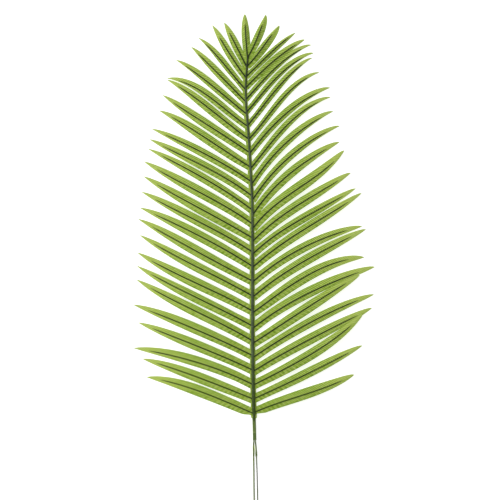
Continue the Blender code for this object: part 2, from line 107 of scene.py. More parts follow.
# Leaflets that handling has bent: root, middle and tip further out, and longer
LEFT_BENT = {
    2: (0, 1, 9, -3), 3: (-2, -1, -8, -3), 4: (1, 1, 1, 3), 5: (2, 1, 24, 1), 6: (-3, -3, 0, 0),
    7: (-3, 0, -8, -3), 8: (3, -3, 1, -5), 9: (2, 1, 4, -2), 11: (0, -3, 1, 1), 12: (0, -1, -4, 4),
    13: (3, -1, -3, 0), 14: (-1, 1, 0, -1), 15: (-2, 1, 6, -2), 16: (3, -1, 1, 1), 17: (0, 0, -2, -4),
    18: (0, 1, -1, -3), 19: (0, -1, -1, -1), 20: (-2, -2, -3, 2), 21: (2, 0, 6, 3), 22: (2, 0, 0, -2),
    23: (0, 4, 9, 6), 24: (4, -1, -3, 0), 25: (2, -2, 0, -2),
}
RIGHT_BENT = {
    1: (2, -3, 0, -3), 2: (0, 0, 3, 3), 3: (0, 3, 1, 2), 4: (1, 1, 4, 2), 5: (0, -1, 1, -2),
    6: (-1, -4, -12, -5), 7: (3, -2, 0, -4), 8: (-2, 6, 0, 1), 9: (2, 0, 4, 0), 10: (-2, 1, 0, -2),
    11: (0, 0, 6, 2), 12: (0, -1, 4, -5), 13: (1, 1, -19, 2), 14: (5, 0, -1, -2), 15: (4, 0, 0, 0),
    16: (2, -4, -4, 13), 17: (1, 1, 16, -5), 18: (0, -1, 0, 3), 19: (4, 0, 20, -13), 20: (0, 5, 3, 1),
    21: (4, -2, -10, -18), 22: (0, 2, 2, 2), 23: (-1, 1, -4, 5), 24: (1, -5, -20, 8), 25: (1, -2, 1, -1),
    26: (-2, 4, 4, -16),
}
NOT_BENT = (0, 0, 0, 0)

# How many millimetres wider the lower and the upper half of a leaflet is cut
LEFT_CUT = {
    2: (-1.5, 0), 3: (0, 0.5), 4: (-0.5, 0.5), 5: (-0.5, 0), 6: (1, -0.5), 7: (1, 0), 8: (1, 0.5),
    9: (0, -1), 11: (0, -1), 12: (0.5, 1), 13: (1, 0), 14: (-0.5, 0), 15: (0.5, -0.5), 17: (0, -1),
    18: (0.5, 0), 19: (0.5, -1.5), 20: (0.5, 0), 21: (-1, 1), 22: (-0.5, 0.5), 23: (-1, 1), 25: (0.5, 0.5),
}
RIGHT_CUT = {
    1: (1, -1), 2: (-1.5, -2), 3: (0, 0.5), 4: (-1, 0), 5: (-0.8, 0), 6: (0, -1), 7: (0, -1),
    8: (0, 1), 9: (-0.5, -0.5), 10: (-0.8, 0), 11: (-1, -1.5), 12: (0.5, -1), 13: (0.8, 1), 14: (0.8, -0.5),
    15: (0, -1.8), 16: (0.5, -1.2), 17: (0, -1.2), 18: (0.5, -0.5), 19: (1.5, -0.5), 20: (-1, 1),
    21: (1, -0.8), 22: (-1, -0.8), 24: (0.8, -0.5), 25: (-1, 0), 26: (0, 1.2),
}
NOT_CUT = (0, 0)

# How much of the blade is above its rib at the tip, at each number of a leaflet
UPPER_SHARE_TIP = {
    LEFT: ((0, 0.62), (3, 0.80), (6, 0.82), (10, 0.72), (15, 0.75), (20, 0.62), (25, 0.63)),
    RIGHT: ((0, 0.20), (1, 0.26), (2, 0.50), (4, 0.84), (8, 0.88), (12, 0.78), (16, 0.72),
            (21, 0.61), (26, 0.60)),
}

# Leaflets that lie over the one above them, and how much higher their outer half is
RIGHT_OVERLAP = {9: 2.6, 16: 2.6, 21: 3.2, 24: 3.0}
LEFT_OVERLAP = {6: 2.4}

# Shape of one leaflet
STRIP_REACH = 4.4 * MM
LEAD_MOST = 19 * MM
WIDEST = 0.48
ROOT_SHARE = 0.87
TIP_POWER = {LEFT: 0.75, RIGHT: 0.60}
LOWEST_TRIM = 0.45
LOWEST_TRIM_REACH = 20 * MM
UPPER_SHARE_ROOT = 0.49
UPPER_SHARE_TURN = 2.5
CUT_FULL_AT = 0.15
FOLD_SLOPE = 0.17
FOLD_START = 0.12
ARCH = 5.0 * MM
ARCH_LENGTH = 200 * MM
ARCH_VARIATION = 0.22
ARCH_TURN = 2.4
TIP_HEIGHT = CLOTH / 2 + 0.02 * MM
SETTLING = 1.5
OVERLAP_FROM = 0.3
OVERLAP_RUN = 0.4
WALK_STEPS = 120
HEADING_STEP = 2 * MM

# %% [markdown]
# A few rows are enough for a smooth run of leaflets, because a curve fills in what
# lies between them. The curve here is a cubic through the rows, which takes its
# slope at each row from the two beside it.

# %% Curves and mixes
def smooth(rows, at):
    """Read a smooth curve through rows of (place, value, ...) at some places."""
    table = np.array(sorted(rows), dtype=float)
    places, values = table[:, 0], table[:, 1:]
    slopes = np.gradient(values, places, axis=0)
    at = np.atleast_1d(np.asarray(at, dtype=float))
    low = np.clip(np.searchsorted(places, at) - 1, 0, len(places) - 2)
    step = (places[low + 1] - places[low])[:, None]
    t = (at[:, None] - places[low][:, None]) / step
    return ((2 * t**3 - 3 * t**2 + 1) * values[low] + (t**3 - 2 * t**2 + t) * step * slopes[low]
            + (3 * t**2 - 2 * t**3) * values[low + 1] + (t**3 - t**2) * step * slopes[low + 1])


def blend(start, end, share):
    return start + (end - start) * share


def ease(share):
    """Nought to one with a soft start and end."""
    share = np.clip(share, 0.0, 1.0)
    return share * share * (3 - 2 * share)


def in_metres(rows, rise):
    """Read a curve that is written in millimetres, at a rise in metres."""
    return smooth(rows, rise / MM)[:, 0] * MM


def spine_x(rise):
    return FOOT_X + in_metres(SPINE_SWAY, rise)


def strip_z(rise):
    return in_metres(STRIP_HEIGHT, rise)


def unit(ways):
    return ways / np.linalg.norm(ways, axis=1)[:, None]


print("spine sways from", round(float(spine_x(0)[0]) / MM, 1), "to",
      round(float(spine_x(520 * MM)[0]) / MM, 1), "mm")

# %% [markdown]
# One leaflet is a curve on the table, which starts on the spine and turns a little
# as it goes. Everything on that leaflet, its cloth and its rib, is laid along that
# curve, so they always agree. The blade lies flat until it is clear of the spine,
# and then arches a few millimetres and comes down to the surface at its tip.

# %% The rule of one leaflet
class Leaflet:
    """Where a leaflet's middle line runs, and how wide and how high it lies there."""

    def __init__(self, side, row, bent, cut, overlap):
        number, rise, root, middle, tip, length, width = row
        self.side = side
        self.number = number
        self.rise = rise * MM
        self.leans = np.radians((root + bent[0], middle + bent[1], tip + bent[2]))
        self.length = (length + bent[3]) * MM
        self.width = width * MM
        self.more_lower = cut[0] * MM
        self.more_upper = cut[1] * MM
        self.overlap = overlap * MM
        self.upper_tip = smooth(UPPER_SHARE_TIP[side], number)[0, 0]
        self.line = self.trace()
        self.lead = self.flat_lead()

    def trace(self):
        """Walk along the middle line in short steps, turning with the lean."""
        share = (np.arange(WALK_STEPS) + 0.5) / WALK_STEPS
        root, middle, tip = self.leans
        lean = (root * (1 - share) * (1 - 2 * share) + middle * 4 * share * (1 - share)
                + tip * share * (2 * share - 1))
        run = self.length / WALK_STEPS
        x = spine_x(self.rise) + self.side * np.concatenate(([0], np.cumsum(np.sin(lean)) * run))
        y = FOOT_Y + self.rise + np.concatenate(([0], np.cumsum(np.cos(lean)) * run))
        return np.column_stack((x, y))

    def flat_lead(self):
        """How far the blade stays flat: until its upper edge is clear of the strip."""
        out = math.sin(self.leans[0])
        reach = STRIP_REACH + self.width / 2 * math.cos(self.leans[0])
        return reach / out if out * LEAD_MOST > reach else LEAD_MOST

    def place(self, along):
        """Points of the middle line, seen from above."""
        marks = np.linspace(0, self.length, len(self.line))
        return np.column_stack([np.interp(along, marks, self.line[:, axis]) for axis in (0, 1)])

    def heading(self, along):
        """Unit vectors along the middle line."""
        ahead = self.place(np.minimum(along + HEADING_STEP, self.length))
        behind = self.place(np.maximum(along - HEADING_STEP, 0.0))
        return unit(ahead - behind)

    def height(self, along):
        """How high the cloth's middle lies."""
        near = self.place(np.minimum(along, self.lead))
        root = strip_z(near[:, 1] - FOOT_Y)
        share = np.maximum(0.0, (along - self.lead) / (self.length - self.lead))
        swing = 1 + ARCH_VARIATION * math.sin(ARCH_TURN * self.number + self.side)
        arch = ARCH * swing * self.length / ARCH_LENGTH * 4 * share * (1 - share)
        lift = self.overlap * np.clip((share - OVERLAP_FROM) / OVERLAP_RUN, 0, 1)
        return blend(root, TIP_HEIGHT, share**SETTLING) + arch + lift

    def half_widths(self, along):
        """Width of the lower and the upper half of the blade."""
        share = np.clip(along / self.length, 0, 1)
        outer = np.clip((share - WIDEST) / (1 - WIDEST), 0, 1)
        wide = np.where(share < WIDEST, blend(ROOT_SHARE, 1.0, ease(share / WIDEST)),
                        (1 - outer**2) ** TIP_POWER[self.side])
        upper = blend(UPPER_SHARE_ROOT, self.upper_tip, share**UPPER_SHARE_TURN)
        full = self.width * wide
        more = wide * np.minimum(1.0, share / CUT_FULL_AT)
        lower = full * (1 - upper) + self.more_lower * more
        return lower * self.trim(along), full * upper + self.more_upper * more

    def trim(self, along):
        """The two lowest leaflets draw in below their ribs, towards the foot."""
        if self.number < (LEFT_COUNT if self.side == LEFT else RIGHT_COUNT) - 1:
            return 1.0
        return blend(LOWEST_TRIM, 1.0, ease(along / LOWEST_TRIM_REACH))

    def fold(self, along):
        """Slope of each half of the blade, down from the rib to the edge."""
        share = (along - self.lead) / (self.length - self.lead)
        return FOLD_SLOPE * np.clip(share / FOLD_START, 0, 1)


def all_leaflets():
    last = Leaflet(RIGHT, END_LEAFLET, NOT_BENT, NOT_CUT, 0.0)
    last.upper_tip = END_UPPER_SHARE
    leaflets = [last]
    sides = ((LEFT, LEFT_COUNT, LEFT_ROWS, LEFT_BENT, LEFT_CUT, LEFT_OVERLAP),
             (RIGHT, RIGHT_COUNT, RIGHT_ROWS, RIGHT_BENT, RIGHT_CUT, RIGHT_OVERLAP))
    for side, count, rows, bent, cut, overlap in sides:
        for number in range(count):
            row = [number, *smooth(rows, number)[0]]
            leaflets.append(Leaflet(side, row, bent.get(number, NOT_BENT), cut.get(number, NOT_CUT),
                                    overlap.get(number, 0.0)))
    return leaflets


leaflets = all_leaflets()
print(len(leaflets), "leaflets,", round(min(l.length for l in leaflets) / MM), "to",
      round(max(l.length for l in leaflets) / MM), "mm long")

# %% [markdown]
# Modelling helpers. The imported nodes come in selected, and an operator works on all
# that is selected, so each new piece starts from an empty selection. A mesh's points
# are moved in one go, as an array, which is how a straight model is laid on a curve.

# %% Modelling helpers
def select_only(*pieces):
    """Select these and nothing else, or nothing at all."""
    bpy.ops.object.select_all(action="DESELECT")
    for piece in pieces:
        piece.select_set(True)
        bpy.context.view_layer.objects.active = piece


def apply_modifiers(piece):
    select_only(piece)
    for name in [modifier.name for modifier in piece.modifiers]:
        bpy.ops.object.modifier_apply(modifier=name)


def shade(piece, degrees):
    """Smooth shading, with a crease where two faces meet at more than an angle."""
    select_only(piece)
    bpy.ops.object.shade_smooth_by_angle(angle=math.radians(degrees))


def thicken(piece, thickness, offset):
    """Give a skin its thickness, half to each side at 0 and all inside it at -1."""
    wall = piece.modifiers.new("wall", "SOLIDIFY")
    wall.thickness = thickness
    wall.offset = offset
    wall.use_even_offset = True
    apply_modifiers(piece)
    return piece


def remove(*pieces):
    for piece in pieces:
        bpy.data.objects.remove(piece, do_unlink=True)


def enter(mode):
    bpy.ops.object.mode_set(mode=mode)


def pick(piece, kind, chosen):
    """Go into edit mode with only those edges or faces selected that are chosen."""
    select_only(piece)
    enter("EDIT")
    bpy.ops.mesh.select_mode(type=kind)
    bpy.ops.mesh.select_all(action="DESELECT")
    enter("OBJECT")
    for element in piece.data.edges if kind == "EDGE" else piece.data.polygons:
        element.select = chosen(element)
    enter("EDIT")


def points_of(piece):
    points = np.empty(len(piece.data.vertices) * 3)
    piece.data.vertices.foreach_get("co", points)
    return points.reshape(-1, 3)


def move_points(piece, *columns):
    piece.data.vertices.foreach_set("co", np.column_stack(columns).ravel())
    piece.data.update()


def copy_of(master, name):
    """A copy with its own mesh."""
    piece = master.copy()
    piece.data = master.data.copy()
    piece.name = name
    piece.data.name = name
    bpy.context.scene.collection.objects.link(piece)
    return piece


def write_map(piece, name, first, second):
    """Keep a pair of numbers for each point as a UV map, which a union carries over."""
    layer = piece.data.uv_layers.get(name) or piece.data.uv_layers.new(name=name)
    corners = np.empty(len(piece.data.loops), dtype=np.int32)
    piece.data.loops.foreach_get("vertex_index", corners)
    pairs = np.column_stack(np.broadcast_arrays(first, second)).astype(np.float32)
    layer.data.foreach_set("uv", pairs[corners].ravel())


def drop_maps(piece):
    for layer in list(piece.data.uv_layers):
        piece.data.uv_layers.remove(layer)


def join_all(name, pieces):
    """Unite closed bodies that cross each other into one."""
    others = bpy.data.collections.new(name + "_parts")
    bpy.context.scene.collection.children.link(others)
    body = pieces[0]
    for piece in pieces[1:]:
        bpy.context.scene.collection.objects.unlink(piece)
        others.objects.link(piece)
    union = body.modifiers.new("union", "BOOLEAN")
    union.operation = "UNION"
    union.operand_type = "COLLECTION"
    union.collection = others
    union.solver = "MANIFOLD"
    apply_modifiers(body)
    remove(*pieces[1:])
    bpy.data.collections.remove(others)
    body.name = name
    body.data.name = name
    return body


# %% [markdown]
# The cloth of a leaflet is modelled once, as a flat grid that is two units wide and
# one unit long. Laid along a leaflet, minus one is its lower edge, nought its rib
# and plus one its upper edge. The rows are as close as the curves need, and there
# are enough columns for each half to bow, which a flat card can't do.

# %% The blade, modelled once
BLADE_ROWS = 64
BLADE_COLUMNS = 8
TIP_HALF_WIDTH = 0.4 * MM


def flat_grid(name, columns, rows):
    """A grid of triangles from -1 to 1 across, and from nought to one along y."""
    select_only()
    bpy.ops.mesh.primitive_grid_add(x_subdivisions=columns, y_subdivisions=rows, size=2)
    grid = bpy.context.object
    grid.name = name
    enter("EDIT")
    bpy.ops.mesh.select_all(action="SELECT")
    bpy.ops.transform.translate(value=(0, 1, 0))
    bpy.ops.transform.resize(value=(1, 0.5, 1), center_override=(0, 0, 0))
    bpy.ops.mesh.quads_convert_to_tris(quad_method="FIXED")
    enter("OBJECT")
    drop_maps(grid)
    return grid


blade_master = flat_grid("blade_master", BLADE_COLUMNS, BLADE_ROWS)
print("blade master:", len(blade_master.data.polygons), "faces")

# %% [markdown]
# Laying a blade. Real pressed cloth is never a clean roof: each half bows a little
# between the rib and the edge, and the edges wave by a fraction of a millimetre.
# The waves are drawn from a seeded generator, one for each leaflet, so that no two
# leaflets are alike and each run gives the same ones.
#
# The lower halves of the right leaflets near the top hang more steeply than the rest,
# so they face away from the lamp and look darker.
#
# Four maps go with the cloth, because its print and its pleats follow the leaflet
# and not the room: "print" is millimetres along and across, "pleats" is millimetres
# across the pleats and along them, "place" is how far along the leaflet a point is
# and a number of the leaflet's own, and "edge" is how far it is towards an edge and
# how much painted shade its leaflet gets. The right row, away from the lamp, gets
# more of it than the left one.

# %% Lay a blade along its leaflet
BOW = 0.035
WAVE_HEIGHT = 0.35 * MM
WAVE_LEAST = 0.4
WAVE_LENGTH = 34 * MM
PLEAT_LEAN_ROOT = 68
PLEAT_LEAN_TIP = 50
PLEAT_ASKEW = 5
FREE_AFTER = 20 * MM
STEEP_SLOPE = 0.30
STEEP_FROM = 9
RIGHT_MARK = 0.5
MARK_SPREAD = 0.45
LOWEST_CLOTH = CLOTH / 2 + 0.18 * MM
# Painted shade on each leaflet, by its number: heaviest on the right row, away from the lamp
PAINTED_SHADE = {
    LEFT: ((0, 0.22), (8, 0.12), (14, 0.04), (25, 0.10)),
    RIGHT: ((0, 0.55), (8, 0.62), (12, 0.30), (18, 0.18), (26, 0.42)),
}


def lay_blade(master, leaflet, random):
    piece = copy_of(master, "blade")
    across, share = points_of(piece)[:, :2].T
    along = share * leaflet.length
    lower, upper = (np.maximum(half, TIP_HALF_WIDTH) for half in leaflet.half_widths(along))
    off = np.where(across < 0, across * lower, across * upper)

    spot = leaflet.place(along)
    way = leaflet.heading(along)
    upward = np.column_stack((-way[:, 1], way[:, 0])) * leaflet.side
    free = ease((along - leaflet.lead) / FREE_AFTER)
    phase = random.uniform(0, 2 * math.pi, 2)
    wave = np.sin(2 * math.pi * along / WAVE_LENGTH + np.where(across < 0, *phase))
    waviness = WAVE_HEIGHT * random.uniform(WAVE_LEAST, 1.0) * wave * across**2 * free * (1 - share)
    bowed = BOW * np.abs(off) * (np.abs(off) / (leaflet.width / 2)) * free
    steep = STEEP_SLOPE * max(0.0, 1 - leaflet.number / STEEP_FROM) if leaflet.side == RIGHT else 0.0
    slope = leaflet.fold(along) + np.where(across < 0, steep * free, 0.0)
    z = leaflet.height(along) - slope * np.abs(off) + waviness - bowed + BOW * np.abs(off) * free
    z = np.maximum(z, LOWEST_CLOTH)
    move_points(piece, spot + upward * off[:, None], z)

    askew = random.uniform(-PLEAT_ASKEW, PLEAT_ASKEW)
    lean = np.radians(blend(PLEAT_LEAN_ROOT, PLEAT_LEAN_TIP, share) + askew)
    marks = np.linspace(0, 1, 200)
    rate = np.sin(np.radians(blend(PLEAT_LEAN_ROOT, PLEAT_LEAN_TIP, marks) + askew))
    run = np.concatenate(([0], np.cumsum((rate[1:] + rate[:-1]) / 2)))
    run = run * leaflet.length / (len(marks) - 1)
    over = np.interp(share, marks, run) + off * np.cos(lean)
    slide = along * np.cos(lean) - off * np.sin(lean)
    mark = random.uniform(0, MARK_SPREAD) + (RIGHT_MARK if leaflet.side == RIGHT else 0)
    write_map(piece, "print", along / MM, off / MM)
    write_map(piece, "pleats", over / MM, slide / MM)
    write_map(piece, "place", share, mark)
    # The second number of "edge" is the leaflet's painted shade
    write_map(piece, "edge", across, smooth(PAINTED_SHADE[leaflet.side], leaflet.number)[0, 0])
    return piece


random = np.random.default_rng(21)
blades = [thicken(lay_blade(blade_master, leaflet, random), CLOTH, 0) for leaflet in leaflets]
print("laid", len(blades), "blades of", len(blades[0].data.polygons), "faces")

# %% [markdown]
# The strip that joins the leaflets is the same sheet of cloth. It shows on both
# sides of the spine, and ends at the foot in two small round corners.

# %% The strip along the spine
STRIP_ROWS = 150
STRIP_COLUMNS = 4
STRIP_PACKING = 1.15
STRIP_OVERSHOOT = 2 * MM
STRIP_CORNER = 3.0 * MM
STRIP_CORNER_DEPTH = 1.8 * MM
STRIP_MARK = 0.3
STRIP_PRINT_SHARE = 0.04
STRIP_FADED = 2.4 * MM
STRIP_FADED_REACH = 1.6 * MM


def spine_half_width(rise):
    return blend(SPINE_WIDTH_FOOT, SPINE_WIDTH_TIP, np.maximum(0.0, rise) / SPINE_LENGTH) / 2


def make_strip():
    strip = flat_grid("strip", STRIP_COLUMNS, STRIP_ROWS)
    across, share = points_of(strip)[:, :2].T
    rise = share**STRIP_PACKING * (SPINE_LENGTH + STRIP_OVERSHOOT)
    half = spine_half_width(rise)
    left = half + blend(STRIP_LEFT_FOOT, STRIP_LEFT_TIP, rise / SPINE_LENGTH)
    right = half + blend(STRIP_RIGHT_FOOT, STRIP_RIGHT_TIP, rise / SPINE_LENGTH)
    short = np.clip(1 - rise / STRIP_CORNER, 0, 1)
    rounded = STRIP_CORNER_DEPTH * (1 - np.sqrt(np.maximum(0.0, 1 - short**2)))
    off = np.where(across < 0, across * (left - rounded), across * (right - rounded))
    move_points(strip, spine_x(rise) + off, FOOT_Y + rise, strip_z(rise))
    lean = math.radians(PLEAT_LEAN_ROOT)
    over = rise * math.sin(lean) + np.abs(off) * math.cos(lean)
    slide = rise * math.cos(lean) - np.abs(off) * math.sin(lean)
    write_map(strip, "print", rise / MM, np.abs(off) / MM)
    write_map(strip, "pleats", over / MM, slide / MM)
    place = np.where(across < 0, STRIP_MARK, STRIP_MARK + RIGHT_MARK)
    write_map(strip, "place", STRIP_PRINT_SHARE, place)
    faded = np.exp(-((rise - STRIP_FADED) / STRIP_FADED_REACH) ** 2)
    write_map(strip, "edge", 0.0, -faded)
    return thicken(strip, CLOTH, 0)


leaf = join_all("leaf_cloth_fine", [make_strip()] + blades)
remove(blade_master)
shade(leaf, 40)
print("leaf cloth:", len(leaf.data.polygons), "faces, maps", [m.name for m in leaf.data.uv_layers])

# %% [markdown]
# Ribs, spine, sleeve and wires are all long bars, so one straight bar is modelled
# once for each cross-section and laid along its line. The bar is a cylinder on its
# side, cut across by a ring of edges every few millimetres, so that it can bend.

# %% A straight bar, modelled once for each cross-section
SPINE_KIND = 0.0
RIB_KIND = 1.0


def make_bar(name, sides, cuts, flat_below=None):
    """A bar from y = 0 to 1, with a radius of 1, and flat under a height if given."""
    select_only()
    bpy.ops.mesh.primitive_cylinder_add(vertices=sides, radius=1, depth=1, location=(0, 0.5, 0),
                                        rotation=(math.radians(90), 0, math.radians(180)))
    bar = bpy.context.object
    bar.name = name
    bpy.ops.object.transform_apply(location=True, rotation=True, scale=True)

    def runs_along(edge):
        low, high = (bar.data.vertices[i].co for i in edge.vertices)
        return abs(low.y - high.y) > 0.5

    pick(bar, "EDGE", runs_along)
    bpy.ops.mesh.subdivide_edgering(number_cuts=cuts, interpolation="LINEAR", smoothness=0)
    enter("OBJECT")
    if flat_below is not None:
        points = points_of(bar)
        points[:, 2] = np.maximum(points[:, 2], flat_below)
        move_points(bar, points)
    drop_maps(bar)
    return bar


def lay_bar(master, name, centre, half_width, tall, base, kind):
    """Lay a bar: its middle line, half its width, its height and its underside."""
    piece = copy_of(master, name)
    x, share, z = points_of(piece).T
    share = np.clip(share, 0, 1)
    low, high = z.min(), z.max()
    spot, way = centre(share)
    sideways = np.column_stack((way[:, 1], -way[:, 0]))
    off = x * half_width(share)
    up = base(share, off) + (z - low) / (high - low) * tall(share)
    move_points(piece, spot + sideways * off[:, None], up)
    write_map(piece, "bar", share, kind)
    return piece


# %% [markdown]
# The skeleton is moulded in soft plastic. Each rib is a low round-topped bar on the
# fold of its leaflet, which thins out and ends in a point before the tip. Its
# underside follows the roof of the cloth, so that no light shows under it.

# %% Ribs on the leaflets
RIB_END = 0.88
RIB_END_SHORT = 0.78
RIB_SHORT_UNDER = 106 * MM
RIB_WIDTH_ROOT = 2.2 * MM
RIB_WIDTH_END = 1.85 * MM
RIB_TOP_ROOT = 1.7 * MM
RIB_TOP_END = 1.2 * MM
RIB_POINT = 0.10
ON_CLOTH = CLOTH / 2 + 0.04 * MM


def lay_rib(master, leaflet):
    end = (RIB_END if leaflet.length > RIB_SHORT_UNDER else RIB_END_SHORT) * leaflet.length

    def pointed(share):
        return np.sqrt(np.clip((1.002 - share) / RIB_POINT, 0.0, 1.0))

    def centre(share):
        return leaflet.place(share * end), leaflet.heading(share * end)

    def half_width(share):
        return blend(RIB_WIDTH_ROOT, RIB_WIDTH_END, share) / 2 * pointed(share)

    def tall(share):
        return (blend(RIB_TOP_ROOT, RIB_TOP_END, share) - ON_CLOTH) * pointed(share)

    def base(share, off):
        return leaflet.height(share * end) + ON_CLOTH - leaflet.fold(share * end) * np.abs(off)

    return lay_bar(master, "rib", centre, half_width, tall, base, RIB_KIND)


rib_master = make_bar("rib_master", sides=10, cuts=40, flat_below=-0.35)
ribs = [lay_rib(rib_master, leaflet) for leaflet in leaflets]
print("laid", len(ribs), "ribs of", len(ribs[0].data.polygons), "faces")

# %% [markdown]
# The spine is a wider bar of the same moulding. Near the foot it draws in to a
# waist, and two short legs cross there and end over the sleeve.

# %% Spine and legs
SPINE_BASE = 0.7 * MM
SPINE_PACKING = 1.2
WAIST_RISE = 1.5 * MM
WAIST_START = 12 * MM
WAIST_HALF = 1.5 * MM
LEG_TOP = 9 * MM
LEG_BOTTOM = -4.4 * MM
LEG_SPREAD_TOP = 1.9 * MM
LEG_SPREAD_FOOT = 1.25 * MM
LEG_CROSSING = 0.55 * MM
LEG_HALF = 0.85 * MM
LEG_BOW = 0.8
LEG_POINT = 0.35
LEG_THINNED = 0.55


def lay_spine(master):
    def rise_of(share):
        return WAIST_RISE + share**SPINE_PACKING * (SPINE_LENGTH - WAIST_RISE)

    def centre(share):
        rise = rise_of(share)
        spot = np.column_stack((spine_x(rise), FOOT_Y + rise))
        ahead = np.column_stack((spine_x(rise + MM), FOOT_Y + rise + MM)) - spot
        return spot, unit(ahead)

    def half_width(share):
        rise = rise_of(share)
        waist = ease((rise - WAIST_RISE) / (WAIST_START - WAIST_RISE))
        return blend(WAIST_HALF, spine_half_width(rise), waist)

    def tall(share):
        return SPINE_BASE - ON_CLOTH + blend(SPINE_HEIGHT_FOOT, SPINE_HEIGHT_TIP, share)

    def base(share, off):
        return strip_z(rise_of(share)) + ON_CLOTH

    return lay_bar(master, "spine", centre, half_width, tall, base, SPINE_KIND)


def lay_leg(master, side):
    def centre(share):
        rise = blend(LEG_TOP, LEG_BOTTOM, share)
        below = np.clip((WAIST_RISE - rise) / (WAIST_RISE - LEG_BOTTOM), 0, 1)
        above = np.clip((rise - WAIST_RISE) / (LEG_TOP - WAIST_RISE), 0, 1)
        off = LEG_CROSSING + (LEG_SPREAD_FOOT - LEG_CROSSING) * below**LEG_BOW
        off = off + (LEG_SPREAD_TOP - LEG_CROSSING) * above
        spot = np.column_stack((spine_x(0 * rise) + side * off, FOOT_Y + rise))
        return spot, np.tile((0.0, -1.0), (len(spot), 1))

    def half_width(share):
        return LEG_HALF * np.sqrt(np.clip((1.01 - share) / LEG_POINT, 0, 1))

    def tall(share):
        return blend(SPINE_HEIGHT_FOOT, SPINE_HEIGHT_FOOT * LEG_THINNED, share)

    def base(share, off):
        return strip_z(0 * share) + ON_CLOTH

    return lay_bar(master, "leg", centre, half_width, tall, base, SPINE_KIND)


spine_master = make_bar("spine_master", sides=16, cuts=200, flat_below=-0.5)
leg_master = make_bar("leg_master", sides=12, cuts=16, flat_below=-0.5)
bars = [lay_spine(spine_master), lay_leg(leg_master, LEFT), lay_leg(leg_master, RIGHT)] + ribs
skeleton = join_all("rib_skeleton_fine", bars)
remove(rib_master, spine_master, leg_master)
shade(skeleton, 45)
print("skeleton:", len(skeleton.data.polygons), "faces")

# %% [markdown]
# The sleeve is a flat tube drawn tightly over two wires, so it shows a lobe over
# each and a shallow valley between them. Its mouth is open below, where the wires
# come out, and it is closed at its upper end behind the leaf.

# %% The stem's sleeve
SLEEVE_BOTTOM = -35.5 * MM
SLEEVE_TOP = 385 * MM
SLEEVE_WIDTH = 5.8 * MM
SLEEVE_HEIGHT = 3.0 * MM
SLEEVE_VALLEY = 0.45 * MM
VALLEY_REACH = 0.55 * MM
MOUTH_FLARE = 0.05
MOUTH_REACH = 2 * MM
SLEEVE_SQUARE_WIDE = 0.8
SLEEVE_SQUARE_HIGH = 0.85
SLEEVE_WALL = 0.38 * MM
SLEEVE_SWAY = ((-40, 1.2), (-20, 0.8), (0, 0.2), (46, -1.2), (125, -2.2), (285, -2.5),
               (345, -2.7), (375, -3.6), (405, -5.4), (445, -7.6))
WIRE_SPREAD = 1.25 * MM


def sleeve_x(rise):
    return FOOT_X + in_metres(SLEEVE_SWAY, rise)


def make_sleeve():
    """The outer skin first, then a wall inside it, with the mouth left open."""
    bar = make_bar("stem_sleeve_fine", sides=28, cuts=90)
    pick(bar, "FACE", lambda face: face.normal.y < -0.9)
    bpy.ops.mesh.delete(type="FACE")
    enter("OBJECT")
    x, share, z = points_of(bar).T
    rise = blend(SLEEVE_BOTTOM, SLEEVE_TOP, share)
    corner = SLEEVE_HEIGHT / 2
    flare = 1 + MOUTH_FLARE * np.clip(1 - (rise - SLEEVE_BOTTOM) / MOUTH_REACH, 0, 1)
    sideways = (np.sign(x) * np.abs(x) ** SLEEVE_SQUARE_WIDE * SLEEVE_WIDTH / 2) * flare
    valley = SLEEVE_VALLEY * np.exp(-(sideways / VALLEY_REACH) ** 2)
    up = np.sign(z) * np.abs(z) ** SLEEVE_SQUARE_HIGH * corner
    up = corner + np.where(z > 0, up - valley * np.clip(z, 0, 1), up)
    move_points(bar, sleeve_x(rise) + sideways, FOOT_Y + rise, up)
    write_map(bar, "length", rise / MM, sideways / MM)
    return thicken(bar, SLEEVE_WALL, -1)


sleeve = make_sleeve()
shade(sleeve, 50)
print("sleeve:", len(sleeve.data.polygons), "faces")

# %% [markdown]
# Each wire is drawn steel in a thin green coating, which is torn below the sleeve.
# On the left wire a loose flap of it curls off to the right, and a worn coat runs
# on down. On the right one it ends in a small bulge, above the thinner steel.

# %% The wires
WIRE_RADIUS = 0.92 * MM
COAT_RADIUS = 1.1 * MM
WORN_RADIUS = 1.14 * MM
WIRE_LOWEST = 0.03 * MM
WIRE_TOP = 376 * MM
COAT_START = -37 * MM
WIRE_LEFT_TAIL = ((-37, -0.1), (-40, -0.4), (-45, -0.75), (-61, -0.6), (-85, -0.15),
                  (-110, 0.05), (-138, 0.4))
WIRE_RIGHT_TAIL = ((-37, 2.4), (-45, 3.2), (-54, 3.9), (-66, 4.3), (-85, 5.0), (-110, 5.6), (-138, 6.2))
COAT_END_LEFT = -56 * MM
COAT_END_RIGHT = -63 * MM
TEAR_LENGTH = 0.6 * MM
BULGE = 0.35 * MM
BULGE_REACH = 4 * MM
WIRE_HIDDEN = 0.3
WIRE_REST = 1.0 * MM
WIRE_DROP = 60 * MM


